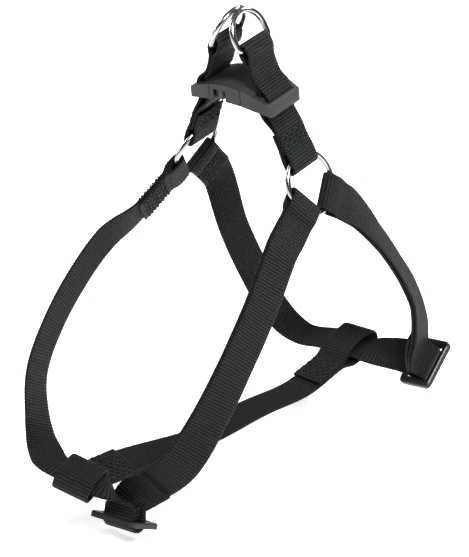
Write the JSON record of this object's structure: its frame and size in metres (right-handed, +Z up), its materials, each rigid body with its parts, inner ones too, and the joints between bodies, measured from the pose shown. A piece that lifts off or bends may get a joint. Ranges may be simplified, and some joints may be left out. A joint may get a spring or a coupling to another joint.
{
  "type": "no pull harness",
  "caption": "Step-in pet harness: two webbing loops on O-rings, joined by a chest strap and by a buckled back with two D-rings.",
  "frame": {"origin": "inside top of the two D-rings' bows, where a lead clips on", "axes": "+X to the dog's right, +Y to its tail, +Z up"},
  "size_m": [0.124, 0.2438, 0.243],
  "materials": {
    "webbing": "ribbed black webbing",
    "thread": "black sewing thread",
    "chrome": "bright plated wire",
    "plastic": "satin charcoal plastic"
  },
  "bodies": {
    "harness": {"front_strap": "webbing", "rear_strap": "webbing", "front_strap_stitches": "thread", "rear_strap_stitches": "thread", "front_strap_end_stitches": "thread", "rear_strap_end_stitches": "thread", "back_strap_right": "webbing", "back_strap_right_stitches": "thread", "buckle_socket": "plastic"},
    "plug": {"buckle_plug": "plastic", "back_strap_left": "webbing", "back_strap_left_stitches": "thread"},
    "prong_front": {"buckle_prong_front": "plastic"},
    "prong_rear": {"buckle_prong_rear": "plastic"},
    "d_ring_left": {"d_ring_left": "chrome"},
    "d_ring_right": {"d_ring_right": "chrome"},
    "ring_left": {"ring_left": "chrome"},
    "ring_right": {"ring_right": "chrome"},
    "chest": {"chest_strap": "webbing", "chest_strap_front_stitches": "thread", "chest_strap_rear_stitches": "thread"},
    "front_adjuster": {"front_adjuster": "plastic"},
    "rear_adjuster": {"rear_adjuster": "plastic"}
  },
  "joints": [
    {"name": "buckle_release", "type": "slide", "parent": "harness", "child": "plug", "axis": [-1, 0, 0], "range_m": [0, 0.022], "deforming": ["back_strap_left", "back_strap_left_stitches", "buckle_prong_front", "buckle_prong_rear"]},
    {"name": "prong_front_press", "type": "hinge", "parent": "plug", "child": "prong_front", "pos_m": [-0.01185, -0.00421, -0.04082], "axis": [0, -0.1392, 0.9903], "range_deg": [0, 15], "stiffness_Nm_per_rad": 0.05},
    {"name": "prong_rear_press", "type": "hinge", "parent": "plug", "child": "prong_rear", "pos_m": [-0.01185, 0.0153, -0.03808], "axis": [0, -0.1392, 0.9903], "range_deg": [-15, 0], "stiffness_Nm_per_rad": 0.05},
    {"name": "d_ring_left_swing", "type": "hinge", "parent": "plug", "child": "d_ring_left", "pos_m": [-0.009, 0.00202, -0.0144], "axis": [0, -0.9903, -0.1392], "range_deg": [0, 60]},
    {"name": "d_ring_right_swing", "type": "hinge", "parent": "harness", "child": "d_ring_right", "pos_m": [0.009, 0.00202, -0.0144], "axis": [0, 0.9903, 0.1392], "range_deg": [0, 60]},
    {"name": "ring_left_turn", "type": "hinge", "parent": "harness", "child": "ring_left", "pos_m": [-0.0375, 0.01197, -0.0852], "axis": [0.9208, 0.0543, -0.3863], "continuous": true},
    {"name": "ring_right_turn", "type": "hinge", "parent": "harness", "child": "ring_right", "pos_m": [0.0375, 0.01197, -0.0852], "axis": [-0.9208, 0.0543, -0.3863], "continuous": true},
    {"name": "chest_strap_shift", "type": "slide", "parent": "harness", "child": "chest", "axis": [0.9843, 0.1272, -0.1221], "range_m": [-0.004, 0.004]},
    {"name": "front_adjuster_slide", "type": "slide", "parent": "harness", "child": "front_adjuster", "axis": [0.5825, 0.2741, 0.7652], "range_m": [0, 0.02], "deforming": ["front_strap", "front_strap_end_stitches"]},
    {"name": "rear_adjuster_slide", "type": "slide", "parent": "harness", "child": "rear_adjuster", "axis": [0.041, -0.3282, 0.9437], "range_m": [0, 0.02], "deforming": ["rear_strap", "rear_strap_end_stitches"]}
  ],
  "couplings": [
    {"joint": "prong_rear_press", "follows": "prong_front_press", "ratio": -1}
  ]
}
